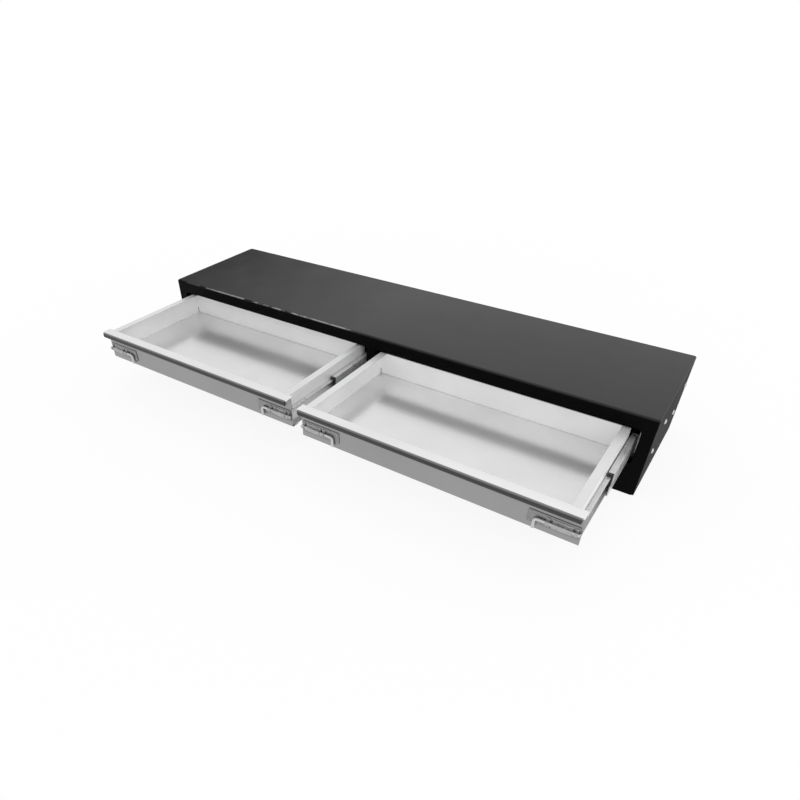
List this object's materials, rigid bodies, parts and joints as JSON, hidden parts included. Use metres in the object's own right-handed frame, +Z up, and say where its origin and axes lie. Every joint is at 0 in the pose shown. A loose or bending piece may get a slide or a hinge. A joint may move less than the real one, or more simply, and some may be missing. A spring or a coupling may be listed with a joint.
{
  "type": "drawer unit",
  "caption": "Low, wide metal case with side-by-side shallow aluminium drawers on ball slides, each with an overhanging edged ledge as its pull and slide bolts at both ends of its face.",
  "frame": {"origin": "centre of the case's underside", "axes": "+X along the case to its right end seen from the front, +Y to the rear, +Z up; the drawers come out towards -Y"},
  "size_m": [1.5314, 0.7181, 0.214],
  "materials": {
    "black_powder_coat": "satin black powder coat on aluminium sheet",
    "mill_aluminium": "mill, lightly brushed",
    "zinc_plated_steel": "bright zinc plate",
    "cage_steel": "thin strip with hard balls",
    "black_plastic": "matte",
    "dark_rubber": "matte"
  },
  "bodies": {
    "case": {"top_front_skin": "black_powder_coat", "side_wrapper": "black_powder_coat", "bottom_panel": "black_powder_coat", "centre_divider": "black_powder_coat", "left_front_spacer": "mill_aluminium", "left_rear_spacer": "mill_aluminium", "left_side_bolt_1": "zinc_plated_steel", "left_side_bolt_2": "zinc_plated_steel", "left_side_bolt_3": "zinc_plated_steel", "left_side_bolt_4": "zinc_plated_steel", "left_web_slide_cabinet_member": "zinc_plated_steel", "left_side_slide_cabinet_member": "zinc_plated_steel", "right_front_spacer": "mill_aluminium", "right_rear_spacer": "mill_aluminium", "right_side_bolt_1": "zinc_plated_steel", "right_side_bolt_2": "zinc_plated_steel", "right_side_bolt_3": "zinc_plated_steel", "right_side_bolt_4": "zinc_plated_steel", "right_web_slide_cabinet_member": "zinc_plated_steel", "right_side_slide_cabinet_member": "zinc_plated_steel"},
    "left_drawer": {"left_tray": "mill_aluminium", "left_drawer_front": "mill_aluminium", "left_edge_strip": "dark_rubber", "left_web_latch_plate": "zinc_plated_steel", "left_side_latch_plate": "zinc_plated_steel", "left_web_slide_drawer_member": "zinc_plated_steel", "left_side_slide_drawer_member": "zinc_plated_steel"},
    "left_middle_members": {"left_web_slide_middle_member": "zinc_plated_steel", "left_web_slide_bumper": "black_plastic", "left_side_slide_middle_member": "zinc_plated_steel", "left_side_slide_bumper": "black_plastic"},
    "left_outer_cages": {"left_web_slide_outer_cage": "cage_steel", "left_side_slide_outer_cage": "cage_steel"},
    "left_inner_cages": {"left_web_slide_inner_cage": "cage_steel", "left_side_slide_inner_cage": "cage_steel"},
    "left_web_latch": {"left_web_latch_rod": "zinc_plated_steel"},
    "left_side_latch": {"left_side_latch_rod": "zinc_plated_steel"},
    "right_drawer": {"right_tray": "mill_aluminium", "right_drawer_front": "mill_aluminium", "right_edge_strip": "dark_rubber", "right_web_latch_plate": "zinc_plated_steel", "right_side_latch_plate": "zinc_plated_steel", "right_web_slide_drawer_member": "zinc_plated_steel", "right_side_slide_drawer_member": "zinc_plated_steel"},
    "right_middle_members": {"right_web_slide_middle_member": "zinc_plated_steel", "right_web_slide_bumper": "black_plastic", "right_side_slide_middle_member": "zinc_plated_steel", "right_side_slide_bumper": "black_plastic"},
    "right_outer_cages": {"right_web_slide_outer_cage": "cage_steel", "right_side_slide_outer_cage": "cage_steel"},
    "right_inner_cages": {"right_web_slide_inner_cage": "cage_steel", "right_side_slide_inner_cage": "cage_steel"},
    "right_web_latch": {"right_web_latch_rod": "zinc_plated_steel"},
    "right_side_latch": {"right_side_latch_rod": "zinc_plated_steel"}
  },
  "joints": [
    {"name": "left_drawer_slide", "type": "slide", "parent": "case", "child": "left_drawer", "axis": [0, -1, 0], "range_m": [-0.3361, 0.019]},
    {"name": "left_middle_members_slide", "type": "slide", "parent": "case", "child": "left_middle_members", "axis": [0, -1, 0], "range_m": [-0.16855, 0.01]},
    {"name": "left_outer_cages_slide", "type": "slide", "parent": "case", "child": "left_outer_cages", "axis": [0, -1, 0], "range_m": [-0.08453, 0.00525]},
    {"name": "left_inner_cages_slide", "type": "slide", "parent": "case", "child": "left_inner_cages", "axis": [0, -1, 0], "range_m": [-0.25257, 0.01475]},
    {"name": "left_web_latch_slide", "type": "slide", "parent": "left_drawer", "child": "left_web_latch", "axis": [1, 0, 0], "range_m": [0, 0.016]},
    {"name": "left_side_latch_slide", "type": "slide", "parent": "left_drawer", "child": "left_side_latch", "axis": [-1, 0, 0], "range_m": [0, 0.016]},
    {"name": "right_drawer_slide", "type": "slide", "parent": "case", "child": "right_drawer", "axis": [0, -1, 0], "range_m": [-0.3501, 0.005]},
    {"name": "right_middle_members_slide", "type": "slide", "parent": "case", "child": "right_middle_members", "axis": [0, -1, 0], "range_m": [-0.17555, 0.003]},
    {"name": "right_outer_cages_slide", "type": "slide", "parent": "case", "child": "right_outer_cages", "axis": [0, -1, 0], "range_m": [-0.08803, 0.00175]},
    {"name": "right_inner_cages_slide", "type": "slide", "parent": "case", "child": "right_inner_cages", "axis": [0, -1, 0], "range_m": [-0.26308, 0.00425]},
    {"name": "right_web_latch_slide", "type": "slide", "parent": "right_drawer", "child": "right_web_latch", "axis": [-1, 0, 0], "range_m": [0, 0.016]},
    {"name": "right_side_latch_slide", "type": "slide", "parent": "right_drawer", "child": "right_side_latch", "axis": [1, 0, 0], "range_m": [0, 0.016]}
  ],
  "couplings": [
    {"joint": "left_middle_members_slide", "follows": "left_drawer_slide", "ratio": 0.5},
    {"joint": "left_outer_cages_slide", "follows": "left_drawer_slide", "ratio": 0.25},
    {"joint": "left_inner_cages_slide", "follows": "left_drawer_slide", "ratio": 0.75},
    {"joint": "right_middle_members_slide", "follows": "right_drawer_slide", "ratio": 0.5},
    {"joint": "right_outer_cages_slide", "follows": "right_drawer_slide", "ratio": 0.25},
    {"joint": "right_inner_cages_slide", "follows": "right_drawer_slide", "ratio": 0.75}
  ]
}
